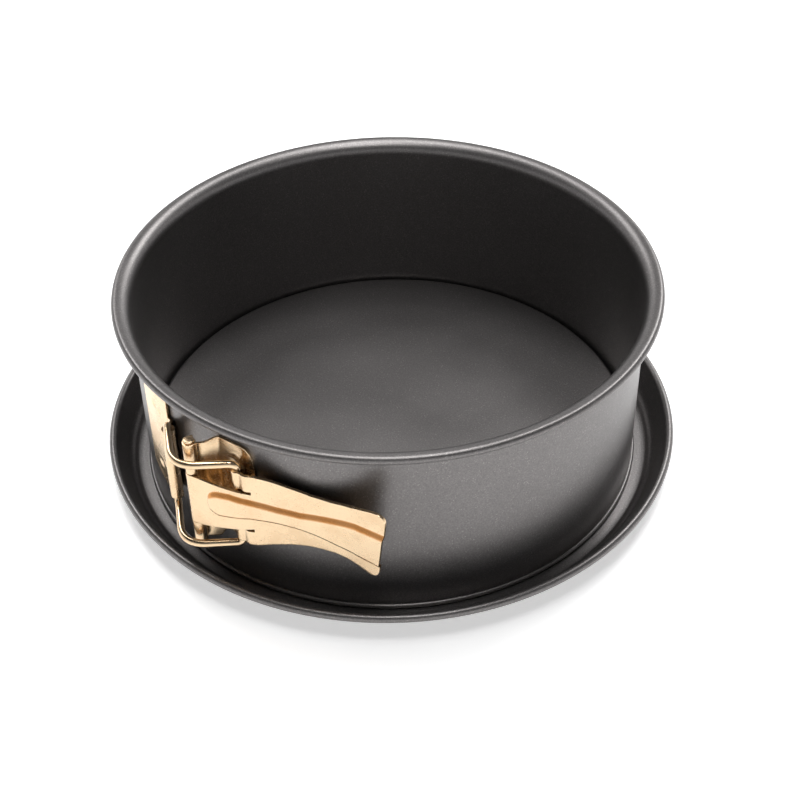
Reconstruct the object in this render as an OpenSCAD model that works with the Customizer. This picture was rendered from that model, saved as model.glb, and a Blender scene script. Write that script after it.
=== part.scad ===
// Springform cake pan: a flat base with a raised floor, an elastic hoop that
// stands round the floor, and an over-centre clasp that draws the hoop's two
// ends together. +Z is up, the origin is the centre of the base's underside,
// and the clasp faces -Y. Lengths are in millimetres.

/* [Hoop] */
// Inner radius of the hoop wall
hoop_r = 90; // [89.9:0.05:90.1]
// Thickness of the hoop's sheet
hoop_t = 0.6; // [0.5:0.05:0.65]
// Height of the top of the rolled rim above the table
rim_top = 72.8; // [72:0.1:73.5]
// Radius of the flare between the wall and the rolled rim
flare_r = 5; // [4.6:0.1:5.2]
// Radius of the bead rolled round the rim wire
rim_bead_r = 1.5; // [1.3:0.1:1.6]
// Azimuth of the seam between the hoop's two ends, in degrees
seam_az = -97.2; // [-97.5:0.1:-97.0]

/* [Base] */
// Radius of the raised floor that the hoop stands round
floor_r = 89.2; // [88.9:0.05:89.3]
// Height of the floor's top above the table
floor_top = 8.3; // [8:0.1:8.6]
// Thickness of the base's sheet
base_t = 0.6; // [0.5:0.05:0.65]
// Outer radius of the flat ring that the base stands on
stand_r = 95.2; // [95:0.1:95.3]
// Outer radius of the gutter, whose outer part rises from the stand ring
gutter_r = 98; // [97:0.1:98.3]
// Rise of the gutter from the stand ring to its outer radius
gutter_rise = 2; // [1.8:0.1:2.2]
// Radius of the circle that the base's rolled edge follows
edge_r = 103.8; // [103:0.1:104.5]
// Height of the centre of the base's rolled edge
edge_z = 9.9; // [9.6:0.1:10]

/* [Clasp] */
// Thickness of the clasp's sheet metal
plate_t = 0.9; // [0.8:0.05:0.95]
// Height of the clasp's middle above the table
mid_z = 41; // [40.5:0.1:41.5]
// Radius of the bail's wire
wire_r = 1.3; // [1.2:0.05:1.3]
// Half the distance between the bail's two arms
arm_half = 17.4; // [17.3:0.05:17.6]
// Radius of the pivot pin
pin_r = 1.25; // [1.2:0.01:1.26]
// Radial running clearance of every pin in its curl
fit = 0.07; // [0.05:0.01:0.09]
// Thickness of the lever's sheet metal
lever_t = 1; // [0.9:0.05:1]

/* [Hidden] */
// Axes of the clasp in plan: the lever's pivot, the bail's pin in the lever and in the far bracket
PV = [7.2, -99.0];
EA = [21.3, -92.0];
KN = [-10.4, -94.0];
hoop_ro = hoop_r + hoop_t;
bore_r = pin_r + fit;
wire_bore_r = wire_r + fit;
// Azimuth where the two hoop parts meet at the back
back_az = 90;
// Sheet gaps that keep neighbouring pieces from touching: at the seam in degrees, at the welds in millimetres
seam_gap = 0.16;
back_gap = 0.03;
weld_gap = 0.01;
// The far bracket turns a little on the hoop while the clasp opens, so it stands further off
turn_gap = 0.28;
// Lap strip inside the seam: its thickness, its length past the seam in degrees, and its clearance below
lap_t = 0.5;
lap_len = 7.5;
lap_gap = 1.2;
// Height of the lower end of the lever bracket, of its two curls, and of the top end
bracket_z = [19.5, 30.1, 51.5, 64];
// Lower and upper end of the lever's own curl
lever_curl_z = [30.4, 51.2];
// Lower ends and height of the two ears
ear_z = [26.4, 51];
ear_h = 5;
// Lower and upper end of the far bracket's curl
bail_curl_z = [25.4, 56.6];
// Pin: lower end, length, and how far and how thick its heads stand out
pin_z = 18.6;
pin_len = 46.4;
pin_head = 0.55;
pin_head_t = 0.6;
// How far the lever's rib stands out of the sheet
rib_t = 0.9;
// Ears: their direction in towards the hoop and across it, and how far the sheet stands from the bail's leg
ear_in = [-0.556, 0.831];
ear_across = [0.831, 0.556];
ear_reach = 3.3;
steel = [0.17, 0.17, 0.18];
zinc = [0.88, 0.72, 0.46];

function pol(a, r) = [r * cos(a), r * sin(a)];
// Points on an arc of radius r round c, from angle a0 to a1 in n steps
function arc(c, r, a0, a1, n) =
    [for (i = [0:n]) c + r * [cos(a0 + (a1 - a0) * i / n), sin(a0 + (a1 - a0) * i / n)]];
function rev(v) = [for (i = [len(v) - 1:-1:0]) v[i]];
function unit(v) = v / norm(v);
// Left-hand normal of a plan path at point i
function nrm(p, i) =
    let (a = p[max(i - 1, 0)], b = p[min(i + 1, len(p) - 1)], d = unit(b - a)) [-d[1], d[0]];
// Closed outline of a sheet of thickness t that follows the plan path p
function ribbon(p, t) = concat([for (i = [0:len(p) - 1]) p[i] + nrm(p, i) * t / 2],
                               rev([for (i = [0:len(p) - 1]) p[i] - nrm(p, i) * t / 2]));
// Plan path moved sideways by d, to its left
function offset_path(p, d) = [for (i = [0:len(p) - 1]) p[i] + nrm(p, i) * d];
// Catmull-Rom spline through the points p, n steps to a span
function cr(p0, p1, p2, p3, u) = 0.5 * (2 * p1 + (p2 - p0) * u
    + (2 * p0 - 5 * p1 + 4 * p2 - p3) * u * u + (3 * p1 - p0 - 3 * p2 + p3) * u * u * u);
function spline(p, n) = concat([for (i = [0:len(p) - 2], k = [0:n - 1])
    cr(p[max(i - 1, 0)], p[i], p[i + 1], p[min(i + 2, len(p) - 1)], k / n)], [p[len(p) - 1]]);

// Half section of the hoop: wall, flare, rolled rim and the small bead at the foot
module hoop_section() {
    foot = base_t + 0.3;
    foot_r = 0.8;
    fi = flare_r - hoop_t;
    d = flare_r - rim_bead_r;
    meet = acos((fi * fi + d * d - rim_bead_r * rim_bead_r) / (2 * fi * d));
    flare_c = [hoop_r + flare_r, rim_top - flare_r];
    bead_c = [hoop_r + flare_r, rim_top - rim_bead_r];
    m = flare_c + fi * [-sin(meet), cos(meet)] - bead_c;
    polygon(concat(arc(flare_c, flare_r, 180, 90, 16),
                   arc(bead_c, rim_bead_r, 80, atan2(m[1], m[0]) - 360, 30),
                   arc(flare_c, fi, 90 + meet + 6, 180, 12),
                   arc([hoop_r + foot_r, foot + foot_r], foot_r,
                       acos((hoop_t - foot_r) / foot_r), -180, 24)));
}

// Right part of the hoop, from the seam round the front to the back, with the lap that backs the seam
module hoop_right() {
    lap_ri = hoop_r - 1.5 * lap_t;
    lap_h = rim_top - flare_r - floor_top - 3;
    color(steel) {
        rotate_extrude(start = seam_az + seam_gap, angle = back_az - seam_az - seam_gap - back_gap, $fn = 180)
            hoop_section();
        // lap strip, and the step that joins it to the wall
        rotate_extrude(start = seam_az - lap_len, angle = lap_len + 0.6, $fn = 180)
            translate([lap_ri, floor_top + lap_gap]) square([lap_t, lap_h]);
        rotate_extrude(start = seam_az + 0.2, angle = 0.5, $fn = 180)
            translate([lap_ri, floor_top + lap_gap]) square([2 * lap_t, lap_h]);
    }
}

// Left part of the hoop, from the back round to the seam
module hoop_left() {
    color(steel)
        rotate_extrude(start = back_az + back_gap, angle = 360 + seam_az - back_az - seam_gap - back_gap,
                       $fn = 180)
            hoop_section();
}

// Base: raised floor, flat stand ring, gutter, sloping rim and rolled edge, as one pressing
module base_plate() {
    lip = 1.4;
    bead = 1.5;
    color(steel) rotate_extrude($fn = 240)
        polygon(concat([[0, floor_top - base_t], [0, floor_top]],
            arc([floor_r - lip, floor_top - lip], lip, 90, 0, 8),
            [[floor_r, base_t], [stand_r, base_t], [gutter_r, base_t + gutter_rise]],
            arc([edge_r, edge_z], bead, 165, -145, 36),
            [[gutter_r + 0.35, gutter_rise], [stand_r + 0.2, 0], [floor_r - base_t, 0]],
            arc([floor_r - lip, floor_top - lip], lip - base_t, 0, 90, 8)));
}

// Bracket on the hoop's right end: welded flange, web and two curls round the pivot pin
module lever_bracket() {
    r_c = hoop_ro + weld_gap + plate_t / 2;
    o_r = bore_r + plate_t;
    flange_az = -83.2;
    web = spline([PV + [-o_r + plate_t / 2, -0.3], PV + [-1.6, 2.4],
                  [8.3, -93.9], pol(flange_az, r_c + 0.35)], 6);
    flange = [for (a = [flange_az:1:flange_az + 10]) pol(a, r_c)];
    color(zinc) difference() {
        union() {
            intersection() {
                translate([0, 0, bracket_z[0]]) linear_extrude(height = bracket_z[3] - bracket_z[0])
                    polygon(ribbon(concat(web, [for (i = [1:len(flange) - 1]) flange[i]]), plate_t));
                // outline seen from the front: shoulders step down to the flange, which has round corners
                rotate([90, 0, 0]) translate([0, 0, 85]) linear_extrude(height = 20)
                    polygon([[3, bracket_z[0]], [9.6, bracket_z[0]], [10.8, 22.4], [13.5, 22.6],
                             [17.5, 21.2], [20, 21.4], [22.8, 22.8], [24.3, 26], [25, 30],
                             [25, 53], [24.6, 57], [23.6, 60.8], [22, 62.6], [19.9, 63.2],
                             [11.4, 63.3], [8.3, 61.2], [6.2, 61], [5, bracket_z[3]], [3, bracket_z[3]]]);
            }
            for (i = [0, 2])
                translate([PV[0], PV[1], bracket_z[i]])
                    cylinder(r = o_r, h = bracket_z[i + 1] - bracket_z[i], $fn = 48);
        }
        translate([PV[0], PV[1], 0]) cylinder(r = bore_r, h = 80, $fn = 48);
        // room for the lever's own curl
        translate([PV[0], PV[1], bracket_z[1]])
            cylinder(r = o_r + 1.1, h = bracket_z[2] - bracket_z[1], $fn = 48);
    }
}

// Pin through the bracket's curls and the lever's curl
module pivot_pin() {
    color(zinc) translate([PV[0], PV[1], pin_z]) {
        cylinder(r = pin_r, h = pin_len, $fn = 48);
        for (z = [0, pin_len - pin_head_t])
            translate([0, 0, z]) cylinder(r = pin_r + pin_head, h = pin_head_t, $fn = 48);
    }
}

// Plan path of the lever's sheet, from the pivot curl's outer side to the flared tip
lever_path = spline([PV + [0.55, -1.74], [14.6, -98.45], pol(-76.6, 97.5), pol(-73, 95.5),
                     pol(-68.5, 93.9), pol(-62.5, 93.5), pol(-55, 96.0), pol(-50.8, 99.2), pol(-48.3, 101.6),
                     [70.6, -75.3]], 5);

// Outline of the lever's sheet seen from the front, from the curl's lower corner round the handle and back
lever_outline = [[6, 30.4], [15, 31.2], [27, 33.4], [27, 32.1], [24, 32.1], [24, 26.4],
                 [28, 26.4], [31.3, 27.4], [37.3, 29.0], [41.9, 29.9], [46.9, 30.4], [51.9, 30.5], [57, 29.6],
                 [61.4, 28.2], [64.7, 26.9], [66.2, 27.6], [66.9, 29.4], [67.8, 35.3], [70.1, 49.5],
                 [69.9, 51.8], [68.8, 53.8], [66, 54.7], [58, 53.1], [51.2, 52.4], [44.7, 52.6], [38.7, 53.8],
                 [33, 55.4], [28, 56.4], [24, 56.4], [24, 49.9], [27, 49.9],
                 [27, 48.6], [15, 50.4], [6, 51.2]];

// Outline of the rib pressed out of the lever's sheet, seen from the front, from its round nose to the tip
rib_outline = [[13.4, 42.4], [14.2, 39.6], [17, 37.9], [26, 38.7], [35, 38.2],
               [41, 37.4], [47, 36.4], [54, 34.8], [61, 33.7], [72, 32.6], [72, 46], [59.6, 46],
               [51, 44.8], [41, 43.3], [34, 43.9], [27, 45.4],
               [21, 46.9], [16.6, 46.6], [14.2, 45.2]];
// The groove behind the rib: the same outline drawn in by the sheet's thickness
groove_outline = [for (p = rib_outline)
    [p[0] + (p[0] < 17 ? lever_t : 0), p[1] + (p[1] > 42 ? -lever_t : lever_t)]];

// Lever: curl on the pivot, narrow tongue, two ears that hold the bail, and the long handle
module lever() {
    c_ro = bore_r + lever_t;
    e_ro = wire_bore_r + lever_t;
    color(zinc) difference() {
        union() {
            intersection() {
                translate([0, 0, 20]) linear_extrude(height = 42) polygon(ribbon(lever_path, lever_t));
                rotate([90, 0, 0]) translate([0, 0, 60]) linear_extrude(height = 50) polygon(lever_outline);
            }
            translate([PV[0], PV[1], lever_curl_z[0]])
                cylinder(r = c_ro, h = lever_curl_z[1] - lever_curl_z[0], $fn = 48);
            // the rib stands out of the sheet, and a groove behind it keeps the wall even
            intersection() {
                translate([0, 0, 20]) linear_extrude(height = 42)
                    polygon(ribbon(offset_path(lever_path, -rib_t / 2), lever_t + rib_t - 0.02));
                rotate([90, 0, 0]) translate([0, 0, 60]) linear_extrude(height = 50) polygon(rib_outline);
            }
            // ears: the sheet turns in towards the hoop and rolls round the bail's leg
            for (z = ear_z) {
                translate([EA[0], EA[1], z]) cylinder(r = e_ro, h = ear_h, $fn = 48);
                translate([0, 0, z]) linear_extrude(height = ear_h)
                    polygon([EA + ear_across * wire_bore_r, EA + ear_across * e_ro,
                             EA + ear_across * e_ro - ear_in * ear_reach,
                             EA + ear_across * wire_bore_r - ear_in * ear_reach]);
            }
        }
        translate([PV[0], PV[1], 0]) cylinder(r = bore_r, h = 80, $fn = 48);
        translate([EA[0], EA[1], 0]) cylinder(r = wire_bore_r, h = 80, $fn = 48);
        intersection() {
            translate([0, 0, 20]) linear_extrude(height = 42)
                polygon(ribbon(offset_path(lever_path, lever_t / 2), 2 * rib_t));
            rotate([90, 0, 0]) translate([0, 0, 60]) linear_extrude(height = 50) polygon(groove_outline);
        }
    }
}

// Plan path of one arm of the bail: from the far bracket out round the pivot and back in to the lever
bow = [6.9, -106.9];
bow_len = 8.5;
function arm_path() =
    let (a = bow + unit(KN - bow) * bow_len,
         b = bow + unit(EA - bow) * bow_len)
    concat([KN],
           [for (i = [0:8]) let (u = i / 8) (1 - u) * (1 - u) * a + 2 * u * (1 - u) * bow + u * u * b],
           [EA]);

// Tube of radius r along a path of points in space, closed at both ends
module tube(p, r, n = 16) {
    m = len(p);
    function tan3(i) = unit(p[min(i + 1, m - 1)] - p[max(i - 1, 0)]);
    pts = [for (i = [0:m - 1]) let (t = tan3(i), h = unit(cross(t, [0, 0, 1])), v = cross(h, t))
           each [for (k = [0:n - 1]) p[i] + r * (h * cos(360 * k / n) + v * sin(360 * k / n))]];
    faces = concat([[for (k = [n - 1:-1:0]) k]], [[for (k = [0:n - 1]) (m - 1) * n + k]],
        [for (i = [0:m - 2], k = [0:n - 1]) [i * n + k, (i + 1) * n + (k + 1) % n, (i + 1) * n + k]],
        [for (i = [0:m - 2], k = [0:n - 1]) [i * n + k, i * n + (k + 1) % n, (i + 1) * n + (k + 1) % n]]);
    polyhedron(points = pts, faces = faces, convexity = 8);
}

// Bail: one loop of wire whose legs turn in the far bracket and in the lever's ears
module bail() {
    p = arm_path();
    color(zinc) {
        for (e = [KN, EA])
            translate([e[0], e[1], mid_z - arm_half]) cylinder(r = wire_r, h = 2 * arm_half, $fn = 48);
        for (s = [-1, 1]) {
            tube([for (q = p) [q[0], q[1], mid_z + s * arm_half]], wire_r - 0.01);
            for (e = [KN, EA])
                translate([e[0], e[1], mid_z + s * arm_half]) sphere(r = wire_r, $fn = 48);
        }
    }
}

// Bracket on the hoop's left end: welded plate, web and the curl that holds the bail's leg
module bail_bracket() {
    r_c = hoop_ro + turn_gap + plate_t / 2;
    o_r = wire_bore_r + plate_t;
    plate = [for (a = [-110:1:-99]) pol(a, r_c)];
    web = spline([pol(-99, r_c), pol(-98.0, r_c + 0.2),
                  KN + [-1.6, 0.9], KN + [-o_r + plate_t / 2, -0.3]], 5);
    color(zinc) difference() {
        union() {
            intersection() {
                translate([0, 0, 17]) linear_extrude(height = 47)
                    polygon(ribbon(concat(plate, [for (i = [1:len(web) - 1]) web[i]]), plate_t));
                rotate([90, 0, 0]) translate([0, 0, 80]) linear_extrude(height = 25)
                    polygon([[-32.5, 27], [-31, 24.2], [-28, 22.6], [-21, 19.4], [-14.6, 18.6], [-13.4, 19.4],
                             [-13.4, bail_curl_z[0]], [-8, bail_curl_z[0]], [-8, bail_curl_z[1]],
                             [-13.2, bail_curl_z[1]], [-13.2, 63.2], [-14, 64], [-31, 64], [-32.5, 62.5]]);
            }
            translate([KN[0], KN[1], bail_curl_z[0]])
                cylinder(r = o_r, h = bail_curl_z[1] - bail_curl_z[0], $fn = 48);
        }
        translate([KN[0], KN[1], 0]) cylinder(r = wire_bore_r, h = 80, $fn = 48);
    }
}

base_plate();
hoop_right();
hoop_left();
lever_bracket();
pivot_pin();
lever();
bail();
bail_bracket();
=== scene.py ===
"""A round cake pan with a lift-off hoop and an over-centre clasp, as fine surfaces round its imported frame.

Lengths in the sums are millimetres, and MM turns them into the frame's metres.
Angles round the pan are azimuths in degrees; the clasp faces -Y.
"""

import math

import bmesh
import bpy
import numpy as np
from mathutils import Matrix, Vector


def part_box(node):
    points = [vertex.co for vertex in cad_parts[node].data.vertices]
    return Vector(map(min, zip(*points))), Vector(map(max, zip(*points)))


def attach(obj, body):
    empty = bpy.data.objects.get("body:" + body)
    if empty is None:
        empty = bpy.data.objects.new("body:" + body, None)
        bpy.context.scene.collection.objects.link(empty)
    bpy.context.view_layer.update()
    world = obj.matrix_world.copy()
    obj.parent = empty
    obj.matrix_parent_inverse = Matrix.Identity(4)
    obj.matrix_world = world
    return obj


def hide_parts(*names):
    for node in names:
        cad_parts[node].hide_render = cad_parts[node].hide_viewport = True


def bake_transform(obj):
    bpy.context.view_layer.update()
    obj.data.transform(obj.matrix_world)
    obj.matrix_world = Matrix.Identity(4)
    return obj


bl_info = {
    "name": "Springform Pan",
    "version": (1, 0, 0),
    "blender": (4, 5, 0),
    "location": "View3D > Sidebar > Pan",
    "description": "Builds a springform cake pan with its clasp round a packed frame",
    "category": "Add Mesh",
}

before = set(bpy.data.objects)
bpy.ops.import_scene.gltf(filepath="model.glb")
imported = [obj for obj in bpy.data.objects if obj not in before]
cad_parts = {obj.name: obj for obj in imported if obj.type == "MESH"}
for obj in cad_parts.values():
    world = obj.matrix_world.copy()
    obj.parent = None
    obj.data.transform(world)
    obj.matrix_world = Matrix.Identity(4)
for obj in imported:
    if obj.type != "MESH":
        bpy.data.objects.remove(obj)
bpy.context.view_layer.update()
MM = 0.001
EDGE_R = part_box("base_plate")[1][0] / MM
RIM_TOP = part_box("hoop_right")[1][2] / MM

# Axes of the clasp in plan: the lever's pivot, the bail's leg in the lever and its leg in the far bracket
PIVOT = np.array([7.2, -99.0])
EAR = np.array([21.3, -92.0])
KNUCKLE = np.array([-10.4, -94.0])
# Gaps: half the seam, in degrees; under the welded lever bracket; and under the bail bracket, which turns
SEAM_HALF = 0.02
WELD_GAP = 0.03
TURN_GAP = 0.28
# Lap inside the seam: thickness, gap to the wall, length past the seam in degrees, and gaps below and above
LAP_T = 0.5
LAP_INSET = 0.25
LAP_LEN = 7.5
LAP_PAST = 0.6
LAP_LOW = 1.2
LAP_HIGH = 1.8
# Steps round the curl of a sheet
CURL_STEPS = 40
# Lever: where the handle starts, its heights there, and the tongue's edges from its curl to the slots
ROOT_X = 27.0
ROOT_LOW, ROOT_HIGH = 26.4, 56.4
TONGUE_X = [PIVOT[0] + 1, 11.0, ROOT_X]
TONGUE_LOW = [30.4, 30.6, 33.4]
TONGUE_HIGH = [51.2, 51.0, 48.6]
TONGUE_COLS = 37
SIDE_COLS = 11
SLOT = 1.3
# Lever's tip: how far it is cut aslant, the rounding of its lower and upper corner, and the share of the
# handle's width and length that they take
TIP_SLANT = 3.4
TIP_LOW, TIP_HIGH = 2.6, 3.0
TIP_CORNER = 0.11
TIP_REACH = 0.3


def size(name, text, value):
    """A size that shows in the sidebar."""
    return bpy.props.FloatProperty(name=name, description=text, default=value)


def tint(name, text, value):
    """A colour that shows in the sidebar."""
    return bpy.props.FloatVectorProperty(name=name, description=text, subtype="COLOR", size=3, default=value)


class PanSizes(bpy.types.PropertyGroup):
    """Sizes of the hoop and the base, in millimetres."""

    wall_r: size("Wall radius", "Inner radius of the hoop", 90.0)
    sheet: size("Sheet", "Thickness of the coated sheet", 0.6)
    flare_r: size("Flare", "Radius between wall and rolled rim", 5.0)
    rim_bead: size("Rim bead", "Radius of the rolled rim", 1.5)
    foot_bead: size("Foot bead", "Radius of the bead at the foot", 0.8)
    seam: size("Seam", "Azimuth of the seam, in degrees", -97.2)
    back_bend: size("Back bend", "Half the arc at the back that bends as the hoop opens, in degrees", 16.0)
    floor_r: size("Floor radius", "Radius of the raised floor", 89.2)
    floor_top: size("Floor height", "Height of the floor's top", 8.3)
    floor_lip: size("Floor lip", "Radius of the floor's edge", 1.4)
    stand_r: size("Stand radius", "Outer radius of the stand ring", 95.2)
    gutter_r: size("Gutter radius", "Outer radius of the gutter", 98.0)
    gutter_rise: size("Gutter rise", "Rise of the gutter outwards", 2.0)
    edge_bead: size("Edge bead", "Radius of the base's rolled edge", 1.5)
    edge_z: size("Edge height", "Height of the rolled edge's centre", 9.9)


class ClaspSizes(bpy.types.PropertyGroup):
    """Sizes of the clasp, in millimetres."""

    plate: size("Bracket sheet", "Thickness of the two brackets", 0.9)
    lever_sheet: size("Lever sheet", "Thickness of the lever", 1.0)
    wire_r: size("Wire radius", "Radius of the bail's wire", 1.3)
    wire_bend: size("Wire bend", "Bend radius of the bail's corners", 2.5)
    pin_r: size("Pin radius", "Radius of the pivot pin", 1.25)
    fit: size("Clearance", "Gap between a pin and its curl", 0.07)
    mid_z: size("Middle height", "Height of the clasp's middle", 41.0)
    arm_half: size("Half arm gap", "Half the gap between the arms", 17.4)
    rib_high: size("Rib height", "How far the lever's rib stands out", 1.1)
    rib_top: size("Rib upper side", "Width of its upper side", 2.4)
    rib_foot: size("Rib lower side", "Width of its lower side", 1.2)
    grid: size("Mesh step", "Size of the mesh on bent sheets", 0.5)


class PanFinish(bpy.types.PropertyGroup):
    """Colours of the two finishes and of the stage."""

    coating: tint("Coating", "Colour of the non-stick coating", (0.160, 0.152, 0.150))
    fleck: tint("Flecks", "Colour of the fine flecks in the coating", (0.44, 0.42, 0.40))
    plating: tint("Plating", "Colour of the yellow zinc plating", (0.79, 0.60, 0.39))
    # Amber stands for painted shade on the steep sides of the rib and weld dents, and also tints the random
    # film and the pits
    amber: tint("Amber", "Colour of the plating where its film is thick", (0.52, 0.21, 0.05))
    floor: tint("Stage", "Colour of the pale floor", (0.93, 0.93, 0.93))


# ---------------------------------------------------------------- curves in the plane


def polar(radius, azimuth):
    """Points at a radius and an azimuth in degrees: (r cos a, r sin a)."""
    a = np.radians(azimuth)
    return np.stack([radius * np.cos(a), radius * np.sin(a)], axis=-1)


def arc(centre, radius, start, stop, steps):
    """Points on a circle: centre + radius (cos t, sin t), t evenly from start to stop in degrees."""
    return np.asarray(centre) + polar(radius, np.linspace(start, stop, steps + 1))


def spline(points, steps):
    """Catmull-Rom curve through the points: a cubic per span, with end slopes of half the chords there."""
    p = np.vstack([points[:1], points, points[-1:]])
    u = (np.arange(steps) / steps)[None, :, None]
    p0, p1, p2, p3 = (p[i:len(p) - 3 + i][:, None, :] for i in range(4))
    spans = 0.5 * (2 * p1 + (p2 - p0) * u + (2 * p0 - 5 * p1 + 4 * p2 - p3) * u ** 2
                   + (3 * p1 - p0 - 3 * p2 + p3) * u ** 3)
    return np.vstack([spans.reshape(-1, p.shape[1]), points[-1:]])


def lengths(path):
    """Distance along the path at each of its points: running sum of the chord lengths."""
    return np.concatenate([[0.0], np.cumsum(np.linalg.norm(np.diff(path, axis=0), axis=1))])


def along(path, s):
    """Point and outward normal at distance s along a plan path. The normal is the tangent turned right."""
    run = lengths(path)
    tangent = np.gradient(path, run, axis=0)
    place = np.stack([np.interp(s, run, path[:, k]) for k in (0, 1)], axis=-1)
    slope = np.stack([np.interp(s, run, tangent[:, k]) for k in (0, 1)], axis=-1)
    slope /= np.linalg.norm(slope, axis=-1, keepdims=True)
    return place, np.stack([slope[..., 1], -slope[..., 0]], axis=-1)


def distance_at(path, x):
    """Distance along the path where it crosses the given x. The path runs to greater x."""
    return float(np.interp(x, path[:, 0], lengths(path)))


def clean(path):
    """The path without points that repeat the one before."""
    step = np.linalg.norm(np.diff(path, axis=0), axis=1)
    return path[np.concatenate([[True], step > 1e-4])]


def ease(t):
    """Smooth step from 0 to 1: t squared times (3 - 2 t), with t held between 0 and 1."""
    t = np.clip(t, 0.0, 1.0)
    return t * t * (3 - 2 * t)


# ---------------------------------------------------------------- surfaces


def quads(rows, cols, wrap_rows=False, wrap_cols=False):
    """Corner numbers of the faces of a grid of rows x cols points, joined round where a direction wraps."""
    i = np.arange(rows if wrap_rows else rows - 1)[:, None]
    j = np.arange(cols if wrap_cols else cols - 1)[None, :]
    i2, j2 = (i + 1) % rows, (j + 1) % cols
    corners = (i * cols + j, i2 * cols + j, i2 * cols + j2, i * cols + j2)
    shape = np.broadcast_shapes(i.shape, j.shape)
    return np.stack([np.broadcast_to(c, shape) for c in corners], -1).reshape(-1, 4)


def mesh_of(name, points, faces, caps=(), notes=None, weld=1e-6):
    """Makes a mesh object from points in millimetres, quads and end caps, and closes its doubled points.

    notes maps an attribute's name to one value per point."""
    mesh = bpy.data.meshes.new(name)
    places = (np.asarray(points).reshape(-1, 3) * MM).tolist()
    mesh.from_pydata(places, [], faces.tolist() + [list(c) for c in caps])
    for title, values in (notes or {}).items():
        layer = mesh.attributes.new(title, "FLOAT", "POINT")
        layer.data.foreach_set("value", np.asarray(values, np.float32).ravel())
    work = bmesh.new()
    work.from_mesh(mesh)
    bmesh.ops.remove_doubles(work, verts=work.verts, dist=weld)
    work.to_mesh(mesh)
    work.free()
    mesh.validate()
    piece = bpy.data.objects.new(name, mesh)
    bpy.context.scene.collection.objects.link(piece)
    return piece


def smooth(piece, crease=35.0):
    """Shades a piece smoothly, with sharp edges where its faces meet at more than crease degrees."""
    piece.data.polygons.foreach_set("use_smooth", np.ones(len(piece.data.polygons), bool))
    piece.data.set_sharp_from_angle(angle=math.radians(crease))
    return piece


def turned(name, profile, start=0.0, stop=360.0, step=1.0, crease=35.0):
    """Turns a profile of (radius, height) round the Z axis: (r cos a, r sin a, z), a from start to stop.

    A whole turn takes a profile from axis to axis. A part turn takes a closed outline and gets flat ends."""
    whole = abs(stop - start) >= 360
    count = int(math.ceil((stop - start) / step))
    a = np.radians(np.linspace(start, stop, count + 1))[:, None]
    a = a[:-1] if whole else a
    r, z = profile[None, :, 0], profile[None, :, 1]
    points = np.stack([r * np.cos(a), r * np.sin(a), np.broadcast_to(z, (len(a), len(profile)))], -1)
    faces = quads(len(a), len(profile), wrap_rows=whole, wrap_cols=not whole)
    caps = ()
    if not whole:
        ring = np.arange(len(profile))
        caps = (ring, (ring + (len(a) - 1) * len(profile))[::-1])
    piece = mesh_of(name, points, faces, caps)
    outward(piece)
    return smooth(piece, crease)


def outward(piece):
    """Turns all faces of a closed mesh to point out of it."""
    work = bmesh.new()
    work.from_mesh(piece.data)
    bmesh.ops.recalc_face_normals(work, faces=work.faces)
    work.to_mesh(piece.data)
    work.free()


class Sheet:
    """A piece of bent sheet metal, gathered from patches of its middle surface.

    A patch is a grid of distances along a plan path and of heights: its point is
    path(s) + press * normal(s), at height z."""

    def __init__(self, name, thickness, step):
        self.name, self.thickness, self.step = name, thickness, step
        self.points, self.faces, self.pressed = [], [], []
        self.count = 0

    def patch(self, path, s, z, press=None):
        """Adds the patch of distances s and heights z, moved out along the normal by press(place, s, z)."""
        place, normal = along(path, s)
        lift = np.zeros_like(z) if press is None else press(place, s, z)
        plan = place + normal * lift[..., None]
        self.points.append(np.concatenate([plan, z[..., None]], -1).reshape(-1, 3))
        # Steepness of the sheet's pressing at each point: the mask of the painted amber shade on the steep
        # sides of the rib and dents
        slope = np.abs(np.gradient(lift, axis=1)) / np.maximum(np.abs(np.gradient(z, axis=1)), 1e-6)
        self.pressed.append(slope.ravel())
        self.faces.append(quads(*z.shape) + self.count)
        self.count += z.size

    def strip(self, path, s0, s1, low, high, press=None):
        """Adds a patch between distances s0 and s1. low and high are its edges: numbers or functions of x."""
        rows = max(3, int(abs(s1 - s0) / self.step) + 1)
        s = np.linspace(s0, s1, rows)
        x = along(path, s)[0][:, 0]
        bottom = low(x) if callable(low) else np.full(rows, low)
        top = high(x) if callable(high) else np.full(rows, high)
        cols = max(3, int(np.max(top - bottom) / self.step) + 1)
        v = np.linspace(0, 1, cols)[None, :]
        z = bottom[:, None] + (top - bottom)[:, None] * v
        self.patch(path, np.broadcast_to(s[:, None], z.shape), z, press)

    def build(self, edge=0.16):
        """Joins the patches where they meet and gives the sheet its thickness and soft edges."""
        piece = mesh_of(self.name, np.vstack(self.points), np.vstack(self.faces),
                        notes={"pressed": np.concatenate(self.pressed)}, weld=2e-5)
        smooth(piece, 60)
        wall = piece.modifiers.new("Thickness", "SOLIDIFY")
        wall.thickness = self.thickness * MM
        wall.offset = 0
        wall.use_even_offset = True
        rounded = piece.modifiers.new("Soft edges", "BEVEL")
        rounded.width = edge * MM
        rounded.segments = 2
        rounded.limit_method = "ANGLE"
        rounded.angle_limit = math.radians(55)
        return piece


def dents(*marks):
    """Pressing of round weld marks: each (x, z, radius, depth) sinks by depth times exp(-(d / radius)^2).

    A low ring stands round each at 1.5 radii."""

    def press(place, s, z):
        lift = np.zeros_like(z)
        for x0, z0, radius, depth in marks:
            d = np.hypot(place[..., 0] - x0, z - z0) / radius
            lift -= depth * np.exp(-d ** 2) - 0.3 * depth * np.exp(-((d - 1.5) / 0.35) ** 2)
        return lift

    return press


# ---------------------------------------------------------------- materials


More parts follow.
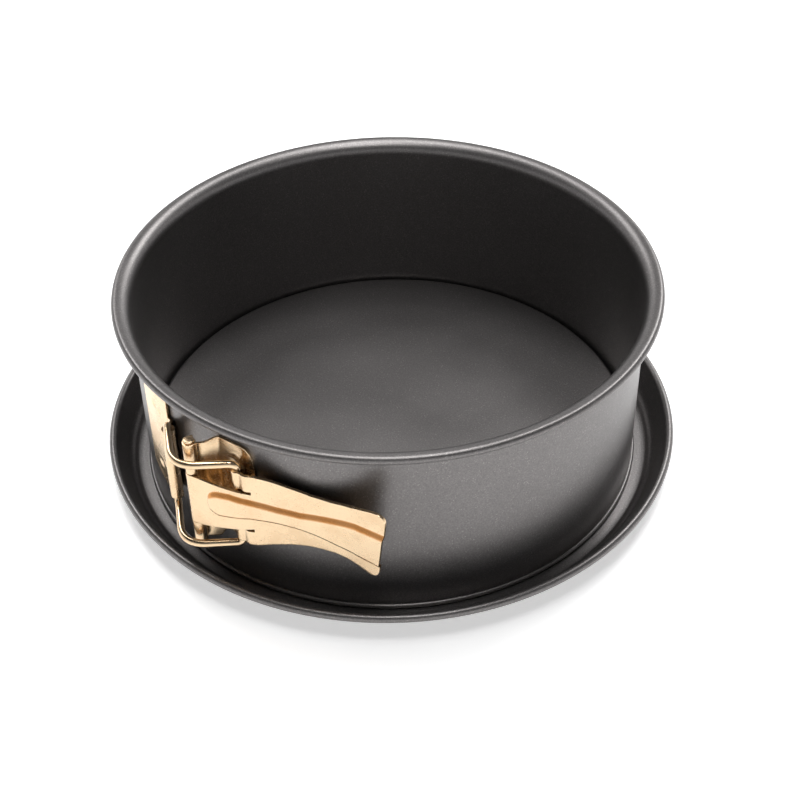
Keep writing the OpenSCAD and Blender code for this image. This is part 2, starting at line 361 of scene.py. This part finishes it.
class Wire:
    """An output socket on a board of shader nodes, so that shader maths can be written as expressions."""

    def __init__(self, board, socket):
        self.board, self.socket = board, socket

    def maths(self, operation, *values, clamp=False):
        """Math node of the operation on the values."""
        settings = {"operation": operation, "use_clamp": clamp}
        return self.board.add("ShaderNodeMath", settings, dict(enumerate(values)))

    def __add__(self, other):
        return self.maths("ADD", self, other)

    def __sub__(self, other):
        return self.maths("SUBTRACT", self, other)

    def __rsub__(self, other):
        return self.maths("SUBTRACT", other, self)

    def __mul__(self, other):
        return self.maths("MULTIPLY", self, other)

    def __truediv__(self, other):
        return self.maths("DIVIDE", self, other)

    def __pow__(self, other):
        return self.maths("POWER", self, other)

    __radd__ = __add__
    __rmul__ = __mul__

    def ramp(self, low, high):
        """0 at low, 1 at high, held between them."""
        return self.maths("MULTIPLY", self - low, 1 / (high - low), clamp=True)


class Board:
    """The node tree of one material, with the object's own coordinates at hand."""

    def __init__(self, name):
        self.material = bpy.data.materials.new(name)
        self.material.use_nodes = True
        self.tree = self.material.node_tree
        self.tree.nodes.clear()
        self.place = self.add("ShaderNodeTexCoord", out="Object")

    def add(self, kind, settings=None, inputs=None, out=0):
        """Adds a node: its settings, then its sockets' values or wires. Returns one output as a Wire."""
        node = self.tree.nodes.new(kind)
        for key, value in (settings or {}).items():
            setattr(node, key, value)
        for key, value in (inputs or {}).items():
            socket = node.inputs[key]
            if isinstance(value, Wire):
                self.tree.links.new(value.socket, socket)
            else:
                socket.default_value = value
        return Wire(self, node.outputs[out]) if node.outputs else node

    def noise(self, lump, detail=2.0, place=None):
        """Noise whose lumps are about lump millimetres across, from 0 to 1."""
        return self.add("ShaderNodeTexNoise", None,
                        {"Vector": place or self.place, "Scale": 1 / (lump * MM), "Detail": detail})

    def cells(self, spacing):
        """Distance to the nearest of scattered points about spacing millimetres apart."""
        sockets = {"Vector": self.place, "Scale": 1 / (spacing * MM)}
        return self.add("ShaderNodeTexVoronoi", None, sockets, out="Distance")

    def colours(self, mask, low, high):
        """Colour that runs from low to high as the mask runs from 0 to 1."""
        node = self.tree.nodes.new("ShaderNodeMix")
        node.data_type = "RGBA"
        for index, value in ((0, mask), (6, low), (7, high)):
            if isinstance(value, Wire):
                self.tree.links.new(value.socket, node.inputs[index])
            else:
                node.inputs[index].default_value = value
        return Wire(self, node.outputs[2])

    def bump(self, height, depth):
        """Normal of a surface whose height in millimetres is the wire times depth."""
        return self.add("ShaderNodeBump", None, {"Height": height, "Distance": depth * MM, "Strength": 1.0})

    def surface(self, **sockets):
        """Ends the board in a Principled surface. Sockets are named with underscores for spaces."""
        shader = self.add("ShaderNodeBsdfPrincipled", None,
                          {key.replace("_", " "): value for key, value in sockets.items()})
        self.add("ShaderNodeOutputMaterial", None, {"Surface": shader})
        return self.material


def rgba(colour):
    """Colour with full opacity."""
    return (*colour, 1.0)


def coating_material(finish):
    """Dark satin non-stick coating: fine light flecks, an orange-peel surface and faint rubbed clouds."""
    board = Board("coating")
    grain = board.noise(0.55, 3.0)
    fleck = board.cells(0.8).ramp(0.30, 0.12) * board.noise(3.0).ramp(0.40, 0.62)
    clouds = board.noise(38.0, 3.0).ramp(0.35, 0.68)
    base = board.colours(grain.ramp(0.38, 0.70), rgba(finish.coating),
                         rgba([c * 1.35 for c in finish.coating]))
    colour = board.colours(fleck * 0.5, base, rgba(finish.fleck))
    return board.surface(
        Base_Color=colour, Metallic=0.93,
        Roughness=0.34 + clouds * 0.05 + grain * 0.05 - fleck * 0.05,
        Normal=board.bump(grain + board.noise(2.2) * 1.2, 0.008))


def plating_material(finish, name="plating", satin=0.20):
    """Yellow zinc plating: bright gold, with painted amber shade on the steep sides of the rib and dents,
    random amber film, fine rolling lines and pits.
    """
    board = Board(name)
    pressed = board.add("ShaderNodeAttribute", {"attribute_name": "pressed"}, out="Fac")
    film = board.noise(9.0, 4.0).ramp(0.42, 0.75)
    lines = board.noise(0.7, 2.0, board.add("ShaderNodeMapping", None,
                                            {"Vector": board.place, "Scale": (0.12, 0.12, 1.6)}))
    pits = board.noise(0.5, 2.0).ramp(0.66, 0.74)
    # Painted shade: the steep sides of the rib and dents turn amber where the gold shows the dark
    # surroundings; a small random film tint joins it
    amber = pressed.ramp(0.10, 0.42) * 0.86 + film * 0.14
    colour = board.colours(amber, rgba(finish.plating), rgba(finish.amber))
    return board.surface(
        Base_Color=board.colours(pits * 0.5, colour, rgba(finish.amber)), Metallic=1.0,
        Roughness=satin + film * 0.10 + lines * 0.06 + pits * 0.15,
        Normal=board.bump(lines * 0.6 + board.noise(4.0) * 1.2, 0.012))


def plating_wire_material(finish):
    """The same plating on drawn wire, brighter and smoother."""
    return plating_material(finish, "plating_wire", 0.14)


def dress(piece, material, body, slot, *nodes):
    """Gives a piece its material and body, and hides the frame's nodes that it stands for. Its slot argument
    is not used.
    """
    piece.data.materials.clear()
    piece.data.materials.append(material)
    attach(piece, body)
    if nodes:
        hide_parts(*nodes)
    return piece


def finish_for(name, make, finish):
    """The material of that name, made the first time it is asked for."""
    return bpy.data.materials.get(name) or make(finish)


# ---------------------------------------------------------------- pieces


def base_profile(pan):
    """Half section of the base: floor, lip, gutter, rim and rolled edge, and back under to the axis."""
    t, lip = pan.sheet, pan.floor_lip
    bead_c = np.array([EDGE_R - pan.edge_bead, pan.edge_z])
    stand, shoulder = np.array([pan.stand_r, t]), np.array([pan.gutter_r, t + pan.gutter_rise])
    floor = np.stack([np.linspace(0, pan.floor_r - lip, 14)[:-1], np.full(13, pan.floor_top)], -1)
    under = np.stack([np.linspace(pan.floor_r - lip, 0, 14)[1:], np.full(13, pan.floor_top - t)], -1)
    lip_c = np.array([pan.floor_r - lip, pan.floor_top - lip])
    return clean(np.vstack([
        floor, arc(lip_c, lip, 90, 0, 10),
        arc([pan.floor_r + 0.8, t + 0.8], 0.8, 180, 270, 6),
        spline(np.array([
            stand - [2.5, 0], stand - [0.6, 0], stand + [0.5, 0.22], shoulder - [1.2, 0.80],
            shoulder + [0.0, 0.06], shoulder + [0.8, 1.1], shoulder + [1.6, 2.6]]), 6),
        arc(bead_c, pan.edge_bead, 165, -145, 40),
        spline(np.array([
            shoulder + [2.3, 2.6], shoulder + [1.5, 1.0], shoulder + [0.6, -0.45],
            shoulder - [0.9, 1.36], stand + [0.9, -0.34], stand - [0.2, t], stand - [2.0, t]]), 6),
        [[pan.floor_r + 0.6, 0.0], [pan.floor_r - 0.2, 0.1], [pan.floor_r - t, 0.6]],
        arc(lip_c, lip - t, 0, 90, 8), under]))


def hoop_profile(pan):
    """Closed half section of the hoop: wall, flare, rolled rim and the small bead at the foot."""
    fi = pan.flare_r - pan.sheet
    d = pan.flare_r - pan.rim_bead
    meet = math.degrees(math.acos((fi * fi + d * d - pan.rim_bead ** 2) / (2 * fi * d)))
    flare_c = np.array([pan.wall_r + pan.flare_r, RIM_TOP - pan.flare_r])
    bead_c = np.array([pan.wall_r + pan.flare_r, RIM_TOP - pan.rim_bead])
    m = flare_c + polar(fi, 90 + meet) - bead_c
    foot_r = pan.foot_bead
    foot_c = [pan.wall_r + foot_r, pan.sheet + 0.3 + foot_r]
    inside = np.linspace([pan.wall_r, foot_c[1] + 1], [pan.wall_r, flare_c[1] - 0.5], 10)
    return clean(np.vstack([
        inside, arc(flare_c, pan.flare_r, 180, 90, 22),
        arc(bead_c, pan.rim_bead, 80, math.degrees(math.atan2(m[1], m[0])) - 360, 34),
        arc(flare_c, fi, 90 + meet + 6, 180, 16),
        np.linspace([pan.wall_r + pan.sheet, flare_c[1] - 0.5], [pan.wall_r + pan.sheet, foot_c[1] + 2], 10),
        arc(foot_c, foot_r, math.degrees(math.acos((pan.sheet - foot_r) / foot_r)), -178, 26)]))


def outline(x, z):
    """Edge of a sheet: its height against x, in straight lines between the given corners."""
    return lambda place: np.interp(place, x, z)


def curl(centre, radius, start, stop):
    """Arc of a curl round a pin, from azimuth start to stop about its centre."""
    return arc(centre, radius, start, stop, CURL_STEPS)


def handle_path():
    """Plan path of the lever: round its pin, out along the hoop and away to the flared tip."""
    return spline(np.array([
        PIVOT + [0.55, -1.74], [14.6, -98.45], polar(97.5, -76.6), polar(95.5, -73), polar(93.9, -68.5),
        polar(93.5, -62.5), polar(96.0, -55), polar(99.2, -50.8), polar(101.6, -48.3), [70.6, -75.3]]), 12)


def handle_low(x):
    """Height of the handle's lower edge against x."""
    return np.interp(x, [19, 28, 31.3, 37.3, 41.9, 46.9, 51.9, 57, 61.4, 64.7, 66.4],
                     [26.2, 26.4, 27.4, 29.0, 29.9, 30.4, 30.5, 29.6, 28.2, 26.9, 26.4])


def handle_high(x):
    """Height of the handle's upper edge against x."""
    return np.interp(x, [19, 28, 33, 38.7, 44.7, 51.2, 58, 65.3, 69],
                     [56.4, 56.4, 55.4, 53.8, 52.6, 52.4, 53.1, 54.7, 55])


def handle_rib(clasp):
    """Raised rib: the sheet stands out by rib_high between two lines, with sides rib_top and rib_foot wide.

    The upper line falls and rises along the handle, the lower line falls away to the tip, and the rib
    starts in a round nose."""

    def press(place, s, z):
        x = place[..., 0]
        upper = np.interp(x, [14, 21, 27, 34, 41, 51, 59.6, 70],
                          [46.6, 46.9, 45.4, 43.9, 43.3, 44.8, 46.0, 46.0])
        lower = np.interp(x, [14, 17, 26, 35, 41, 47, 54, 61, 70],
                          [38.4, 37.9, 38.7, 38.2, 37.4, 36.4, 34.8, 33.7, 32.8])
        mid = (upper + lower) / 2
        nose = np.sqrt(np.clip(1 - ((17.6 - x).clip(0) / 4.2) ** 2, 0, 1))
        reach = (upper - lower) / 2 * nose
        wall = np.where(z > mid, clasp.rib_top, clasp.rib_foot)
        rise = ease((reach - np.abs(z - mid)) / wall + 0.5)
        return clasp.rib_high * rise * ease((x - 13.2) / 1.6)

    return press


class PieceOperator:
    """What the piece operators share: the sizes and finishes kept on the scene."""

    def kept(self, context):
        """Sizes of the pan, sizes of the clasp and the finishes."""
        scene = context.scene
        return scene.pan_sizes, scene.clasp_sizes, scene.pan_finish


class PAN_OT_base(bpy.types.Operator, PieceOperator):
    """Builds the base: one pressing with a raised floor, a gutter and a rolled edge"""

    bl_idname = "pan.base"
    bl_label = "Base"

    def execute(self, context):
        pan, _, finish = self.kept(context)
        piece = turned("base_pressing", base_profile(pan), step=0.75, crease=50)
        dress(piece, finish_for("coating", coating_material, finish), "base", "base_coating", "base_plate")
        return {"FINISHED"}


class PAN_OT_hoop(bpy.types.Operator, PieceOperator):
    """Builds the hoop: its right and left parts, the back arc between them and the seam's lap"""

    bl_idname = "pan.hoop"
    bl_label = "Hoop"

    def execute(self, context):
        pan, _, finish = self.kept(context)
        coat = finish_for("coating", coating_material, finish)
        section = hoop_profile(pan)
        bend = pan.back_bend
        right = turned("hoop_right_part", section, pan.seam + SEAM_HALF, 90 - bend)
        dress(right, coat, "band_right", "hoop_coating", "hoop_right")
        left = turned("hoop_left_part", section, 90 + bend, 360 + pan.seam - SEAM_HALF)
        dress(left, coat, "band_left", "hoop_coating", "hoop_left")
        back = turned("hoop_back", section, 90 - bend, 90 + bend)
        back.data.materials.append(coat)
        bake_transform(back)
        self.lap(pan, coat)
        return {"FINISHED"}

    def lap(self, pan, coat):
        """The strip behind the seam, with round upper and lower edges."""
        low, high = pan.floor_top + LAP_LOW, RIM_TOP - pan.flare_r - LAP_HIGH
        r = LAP_T / 2
        centre = pan.wall_r - LAP_INSET - r
        strip = np.vstack([arc([centre, low + r], r, 180, 360, 6), arc([centre, high - r], r, 0, 180, 6)])
        lap = turned("seam_lap", strip, pan.seam - LAP_LEN, pan.seam + LAP_PAST, step=0.5)
        dress(lap, coat, "band_right", "hoop_coating")


class PAN_OT_lever(bpy.types.Operator, PieceOperator):
    """Builds the lever: curl, tongue, two ears and the ribbed handle"""

    bl_idname = "pan.lever"
    bl_label = "Lever"

    def execute(self, context):
        _, clasp, finish = self.kept(context)
        t = clasp.lever_sheet
        path = handle_path()
        roll = clasp.pin_r + clasp.fit + t / 2
        first = math.degrees(math.atan2(*(path[0] - PIVOT)[::-1]))
        whole = clean(np.vstack([curl(PIVOT, roll, first - 292, first), path[1:]]))
        start = lengths(whole)[CURL_STEPS]
        root = start + distance_at(path, ROOT_X)
        rib = handle_rib(clasp)
        lever = Sheet("clasp_lever", t, clasp.grid)
        across = np.linspace(0, 1, TONGUE_COLS)[None, :]
        self.tongue(lever, whole, start, root, across, rib)
        self.handle(lever, whole, root, across, rib)
        self.ears(lever, path, clasp.wire_r + clasp.fit + t / 2)
        piece = lever.build()
        dress(piece, finish_for("plating", plating_material, finish), "lever", "clasp_sheet", "lever")
        return {"FINISHED"}

    def tongue(self, lever, whole, start, root, across, rib):
        """Curl and tongue, from the sheet's end in the curl to the handle's root."""
        s = np.linspace(0, root, int(root / lever.step) + 1)
        x = along(whole, s)[0][:, 0]
        x = np.where(s < start, TONGUE_X[0], x)
        low, high = np.interp(x, TONGUE_X, TONGUE_LOW), np.interp(x, TONGUE_X, TONGUE_HIGH)
        z = low[:, None] + (high - low)[:, None] * across
        lever.patch(whole, np.broadcast_to(s[:, None], z.shape), z, rib)

    def handle(self, lever, whole, root, across, rib):
        """The handle shares the tongue's columns at its root, with the slots and ears beside them.

        Its tip is cut aslant with round corners, so each row of the mesh is drawn back by its own share."""
        reach = lengths(whole)[-1] - root
        u = np.linspace(0, 1, int(reach / lever.step) + 1)[:, None]
        near_tip = ease((u - (1 - TIP_REACH)) / TIP_REACH)
        ends = root + (reach - np.array([[TIP_SLANT + TIP_LOW, TIP_HIGH]]) * near_tip) * u
        x = along(whole, ends)[0][..., 0]
        bottom, top = handle_low(x[:, :1]), handle_high(x[:, 1:])
        shares = [(edge[-1] - ROOT_LOW) / (ROOT_HIGH - ROOT_LOW) for edge in (TONGUE_LOW, TONGUE_HIGH)]
        inner_low, inner_high = (bottom + share * (top - bottom) for share in shares)
        below = np.linspace(0, 1, SIDE_COLS + 1)[:-1][None, :]
        above = np.linspace(0, 1, SIDE_COLS + 1)[1:][None, :]
        z = np.concatenate([bottom + (inner_low - bottom) * below,
                            inner_low + (inner_high - inner_low) * across,
                            inner_high + (top - inner_high) * above], 1)
        up = (z - bottom) / (top - bottom)
        nick = np.clip((TIP_CORNER - np.minimum(up, 1 - up)) / TIP_CORNER, 0, 1)
        corner = np.where(up < 0.5, TIP_LOW, TIP_HIGH) * (1 - np.sqrt(1 - nick ** 2 * 0.9999))
        back = corner + TIP_SLANT * (1 - up) ** 1.2
        lever.patch(whole, root + (reach - back * near_tip) * u, z, rib)

    def ears(self, lever, path, ear_r):
        """Two ears: back from the root, in towards the hoop and round the bail's leg."""
        run, facing = along(path, np.linspace(distance_at(path, ROOT_X), distance_at(path, ROOT_X - 1), 4))
        outer = facing[-1]
        back = np.array([-outer[1], outer[0]])
        turn = math.degrees(math.atan2(outer[1], outer[0]))
        land = EAR + outer * ear_r
        hook = spline(np.array([
            run[-1], run[-1] - back * 1.0 - outer * 0.25, land + back * 1.1 + outer * 0.18, land]), 8)
        ear = clean(np.vstack([run, hook, arc(EAR, ear_r, turn, turn - 265, 36)]))[::-1]
        for bottom, top in ((ROOT_LOW, TONGUE_LOW[-1] - SLOT), (TONGUE_HIGH[-1] + SLOT, ROOT_HIGH)):
            lever.strip(ear, 0, lengths(ear)[-1], bottom, top)


class PAN_OT_lever_bracket(bpy.types.Operator, PieceOperator):
    """Builds the bracket that carries the lever: two curls, a bent web and the welded flange"""

    bl_idname = "pan.lever_bracket"
    bl_label = "Lever bracket"

    def execute(self, context):
        pan, clasp, finish = self.kept(context)
        t = clasp.plate
        seat = pan.wall_r + pan.sheet + WELD_GAP + t / 2
        roll = clasp.pin_r + clasp.fit + t / 2
        first = math.degrees(math.atan2(-0.3, -roll)) + 360
        web = spline(np.array([
            PIVOT + [-roll, -0.3], PIVOT + [-1.6, 2.4], [8.3, -93.9], polar(seat + 0.35, -83.2)]), 10)
        flange = polar(seat, np.linspace(-82.6, -74.15, 34))
        path = clean(np.vstack([curl(PIVOT, roll, first + 285, first), web[1:], flange]))
        open_s = lengths(path)[CURL_STEPS] + 3.2
        end = lengths(path)[-1]
        bracket = Sheet("lever_bracket_plate", t, clasp.grid)
        low = outline([5, 9.6, 10.8, 13.5, 17.5, 20, 22.8, 24.3, 25],
                      [19.6, 19.6, 22.2, 22.6, 21.3, 21.4, 22.6, 26, 30])
        high = outline([5, 6.2, 8.3, 10.4, 11.4, 19.9, 22.0, 23.6, 24.6, 25],
                       [63.4, 60.8, 61.2, 62.7, 63.3, 63.2, 62.6, 60.8, 57, 53])
        bracket.strip(path, 0, open_s, 19.6, 30.1)
        bracket.strip(path, 0, open_s, 51.5, 63.9)
        weld = dents((17.5, 56.5, 1.5, 0.28), (17.8, 28.0, 1.5, 0.28), (14.5, 41.5, 1.5, 0.2))
        bracket.strip(path, open_s, end, low, high, weld)
        piece = bracket.build()
        plating = finish_for("plating", plating_material, finish)
        dress(piece, plating, "band_right", "clasp_sheet", "lever_bracket")
        return {"FINISHED"}


class PAN_OT_bail_bracket(bpy.types.Operator, PieceOperator):
    """Builds the bracket on the hoop's other end: a welded plate and the curl that holds the bail"""

    bl_idname = "pan.bail_bracket"
    bl_label = "Bail bracket"

    def execute(self, context):
        pan, clasp, finish = self.kept(context)
        t = clasp.plate
        seat = pan.wall_r + pan.sheet + TURN_GAP + t / 2
        roll = clasp.wire_r + clasp.fit + t / 2
        plate = polar(seat, np.linspace(-110.4, -99, 60))
        last = math.degrees(math.atan2(-0.3, -roll)) + 360
        web = spline(np.array([
            plate[-1], polar(seat + 0.2, -98.0), KNUCKLE + [-1.6, 0.9], KNUCKLE + [-roll, -0.3]]), 8)
        path = clean(np.vstack([plate, web[1:], curl(KNUCKLE, roll, last, last + 280)[1:]]))
        split = distance_at(plate, -14.6)
        bracket = Sheet("bail_bracket_plate", t, clasp.grid)
        low = outline([-32.5, -31, -28, -21, -14.6], [27, 24.2, 22.6, 19.6, 18.8])
        high = outline([-32.5, -31.4, -14.6], [62.4, 63.9, 64.0])
        weld = dents((-23.6, 56, 1.6, 0.30), (-20.0, 55, 1.2, 0.22),
                     (-24.2, 29, 1.6, 0.30), (-20.6, 30.5, 1.2, 0.2))
        bracket.strip(path, 0, split, low, high, weld)
        bracket.strip(path, split, lengths(path)[-1], 26.1, 55.9)
        piece = bracket.build()
        plating = finish_for("plating", plating_material, finish)
        dress(piece, plating, "bail_bracket", "clasp_sheet", "bail_bracket")
        return {"FINISHED"}


class PAN_OT_bail(bpy.types.Operator, PieceOperator):
    """Builds the bail: one closed loop of wire with rounded corners"""

    bl_idname = "pan.bail"
    bl_label = "Bail"

    def execute(self, context):
        """The wire follows a rectangle with round corners, laid on the surface above the arm's plan curve.

        The ring round the wire is centre + r (cos t N + sin t B): N is the surface's normal, B lies in it."""
        _, clasp, finish = self.kept(context)
        bow, reach = np.array([6.9, -106.9]), 8.5
        toward = [(KNUCKLE - bow) / np.linalg.norm(KNUCKLE - bow), (EAR - bow) / np.linalg.norm(EAR - bow)]
        a, b = bow + toward[0] * reach, bow + toward[1] * reach
        u = np.linspace(0, 1, 25)[:, None]
        bend = (1 - u) ** 2 * a + 2 * u * (1 - u) * bow + u ** 2 * b
        arm = clean(np.vstack([np.linspace(KNUCKLE, a, 8), bend, np.linspace(b, EAR, 8)]))
        width, high = lengths(arm)[-1], 2 * clasp.arm_half
        rho = clasp.wire_bend
        low = clasp.mid_z - clasp.arm_half
        flat = clean(np.vstack([
            arc([rho, rho], rho, 180, 270, 10),
            np.linspace([rho, 0], [width - rho, 0], 60)[1:-1],
            arc([width - rho, rho], rho, 270, 360, 10),
            np.linspace([width, rho], [width, high - rho], 30)[1:-1],
            arc([width - rho, high - rho], rho, 0, 90, 10),
            np.linspace([width - rho, high], [rho, high], 60)[1:-1],
            arc([rho, high - rho], rho, 90, 180, 10),
            np.linspace([0, high - rho], [0, rho], 30)[1:-1]]))
        place, normal = along(arm, flat[:, 0])
        centre = np.concatenate([place, flat[:, 1:] + low], 1)
        facing = np.concatenate([normal, np.zeros((len(normal), 1))], 1)
        ahead = np.roll(centre, -1, 0) - np.roll(centre, 1, 0)
        ahead /= np.linalg.norm(ahead, axis=1, keepdims=True)
        side = np.cross(ahead, facing)
        side /= np.linalg.norm(side, axis=1, keepdims=True)
        t = np.linspace(0, 2 * math.pi, 24, endpoint=False)[None, :, None]
        ring = centre[:, None] + clasp.wire_r * (np.cos(t) * facing[:, None] + np.sin(t) * side[:, None])
        piece = mesh_of("bail_wire", ring, quads(*ring.shape[:2], wrap_rows=True, wrap_cols=True))
        outward(piece)
        smooth(piece)
        plating = finish_for("plating_wire", plating_wire_material, finish)
        dress(piece, plating, "bail", "clasp_wire", "bail")
        return {"FINISHED"}


class PAN_OT_pin(bpy.types.Operator, PieceOperator):
    """Builds the pivot pin with its two low domed heads"""

    bl_idname = "pan.pin"
    bl_label = "Pivot pin"

    def execute(self, context):
        _, clasp, finish = self.kept(context)
        low, high = (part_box("pivot_pin")[k][2] / MM for k in (0, 1))
        r, head = clasp.pin_r, clasp.pin_r + 0.55
        profile = np.vstack([
            [[0, low]], arc([head - 0.3, low + 0.3], 0.3, 270, 360, 5), [[head, low + 0.5], [r, low + 0.6]],
            [[r, high - 0.6], [head, high - 0.5]], arc([head - 0.3, high - 0.3], 0.3, 0, 90, 5), [[0, high]]])
        piece = turned("clasp_pin", clean(profile), step=12)
        piece.data.transform(Matrix.Translation((*(PIVOT * MM), 0)))
        plating = finish_for("plating_wire", plating_wire_material, finish)
        dress(piece, plating, "band_right", "clasp_wire", "pivot_pin")
        return {"FINISHED"}


class PAN_OT_stage(bpy.types.Operator):
    """Sets the pale floor, the soft studio light and the camera"""

    bl_idname = "pan.stage"
    bl_label = "Stage"

    def execute(self, context):
        finish = context.scene.pan_finish
        self.floor(finish)
        self.sky()
        middle = Vector((0, 0, 0.03))
        self.softbox("back_right_softbox", middle, 188, 42, 1.6, (0.5, 1.0), 11.0)
        self.softbox("back_left_softbox", middle, 260, 45, 1.6, (0.5, 0.9), 7.0)
        self.softbox("overhead_softbox", middle, 224, 78, 1.5, (0.8, 0.6), 10)
        self.softbox("front_softbox", middle, 62, 78, 1.5, (0.4, 0.4), 5.5)
        context.scene.view_settings.view_transform = "Standard"
        self.camera()
        return {"FINISHED"}

    def floor(self, finish):
        """A wide shallow dish that glows faintly: past 1.5 m it rises with the square of the distance."""
        u = np.linspace(-1, 1, 61)
        x, y = np.meshgrid(u * 6000, u * 6000, indexing="ij")
        rise = (np.hypot(x, y) - 1500).clip(0) ** 2 * 1e-4
        floor = mesh_of("stage_floor", np.stack([x, y, rise - 0.02], -1), quads(61, 61))
        smooth(floor)
        board = Board("stage_floor")
        mottle = board.noise(60.0, 3.0)
        pale = rgba(finish.floor)
        colour = board.colours(mottle, pale, rgba([c * 0.985 for c in finish.floor]))
        floor.data.materials.append(board.surface(
            Base_Color=colour, Roughness=0.9, Emission_Color=pale, Emission_Strength=0.50))

    def sky(self):
        """Plain room: light towards the horizon and dark above, where only the softboxes shine."""
        world = bpy.data.worlds.new("studio")
        bpy.context.scene.world = world
        world.use_nodes = True
        nodes, links = world.node_tree.nodes, world.node_tree.links
        nodes.clear()
        ray = nodes.new("ShaderNodeTexCoord")
        split = nodes.new("ShaderNodeSeparateXYZ")
        ramp = nodes.new("ShaderNodeValToRGB")
        light = nodes.new("ShaderNodeBackground")
        out = nodes.new("ShaderNodeOutputWorld")
        ramp.color_ramp.elements[0].position = 0.30
        ramp.color_ramp.elements[0].color = (0.80, 0.80, 0.82, 1)
        ramp.color_ramp.elements[1].position = 0.55
        ramp.color_ramp.elements[1].color = (0.05, 0.05, 0.05, 1)
        light.inputs["Strength"].default_value = 1.0
        links.new(ray.outputs["Generated"], split.inputs[0])
        links.new(split.outputs["Z"], ramp.inputs[0])
        links.new(ramp.outputs[0], light.inputs["Color"])
        links.new(light.outputs[0], out.inputs[0])

    def softbox(self, name, middle, azimuth, elevation, distance, size, power):
        """A soft panel at an azimuth and elevation seen from the pan, turned to face it."""
        a, e = math.radians(azimuth), math.radians(elevation)
        way = Vector((math.sin(a) * math.cos(e), -math.cos(a) * math.cos(e), math.sin(e)))
        light = bpy.data.lights.new(name, "AREA")
        light.shape = "RECTANGLE"
        light.size, light.size_y = size
        light.energy = power
        lamp = bpy.data.objects.new(name, light)
        lamp.location = middle + way * distance
        lamp.rotation_euler = way.to_track_quat("Z", "Y").to_euler()
        bpy.context.scene.collection.objects.link(lamp)

    def camera(self):
        """Camera at azimuth 44 and elevation 39.9 degrees, with the slight roll of a hand-set tripod."""
        azimuth, elevation, distance, roll = math.radians(44.0), math.radians(39.9), 0.5689, 0.02
        target = Vector((0.0025, 0.0024, 0.0156))
        way = Vector((math.sin(azimuth) * math.cos(elevation), -math.cos(azimuth) * math.cos(elevation),
                      math.sin(elevation)))
        right = Vector((math.cos(azimuth), math.sin(azimuth), 0))
        up = way.cross(right)
        across, upward = (right - roll * up).normalized(), (up + roll * right).normalized()
        lens = bpy.data.cameras.new("camera")
        lens.lens = 68.25
        lens.sensor_width = 36
        lens.clip_start = 0.02
        camera = bpy.data.objects.new("camera", lens)
        turn = Matrix((across, upward, way)).transposed().to_4x4()
        camera.matrix_world = Matrix.Translation(target + way * distance) @ turn
        bpy.context.scene.collection.objects.link(camera)
        bpy.context.scene.camera = camera


class PAN_PT_panel(bpy.types.Panel):
    """Lists the pan's pieces and its sizes in the sidebar"""

    bl_idname = "PAN_PT_panel"
    bl_label = "Springform Pan"
    bl_space_type = "VIEW_3D"
    bl_region_type = "UI"
    bl_category = "Pan"

    def draw(self, context):
        for operator in PIECES:
            self.layout.operator(operator.bl_idname)
        for group in (context.scene.pan_sizes, context.scene.clasp_sizes, context.scene.pan_finish):
            box = self.layout.box()
            for name in group.__annotations__:
                box.prop(group, name)


PIECES = (PAN_OT_base, PAN_OT_hoop, PAN_OT_lever_bracket, PAN_OT_pin, PAN_OT_lever, PAN_OT_bail,
          PAN_OT_bail_bracket, PAN_OT_stage)
GROUPS = (PanSizes, ClaspSizes, PanFinish)


def register():
    """Registers the classes and hangs the property groups on the scene."""
    for item in (*GROUPS, *PIECES, PAN_PT_panel):
        bpy.utils.register_class(item)
    bpy.types.Scene.pan_sizes = bpy.props.PointerProperty(type=PanSizes)
    bpy.types.Scene.clasp_sizes = bpy.props.PointerProperty(type=ClaspSizes)
    bpy.types.Scene.pan_finish = bpy.props.PointerProperty(type=PanFinish)


def unregister():
    """Takes the property groups and the classes away again."""
    for name in ("pan_sizes", "clasp_sizes", "pan_finish"):
        delattr(bpy.types.Scene, name)
    for item in reversed((*GROUPS, *PIECES, PAN_PT_panel)):
        bpy.utils.unregister_class(item)


def main():
    """Builds every piece and the stage."""
    register()
    for operator in PIECES:
        group, name = operator.bl_idname.split(".")
        if getattr(getattr(bpy.ops, group), name)() != {"FINISHED"}:
            raise RuntimeError(f"{operator.bl_idname} did not finish")


if __name__ == "__main__":
    main()
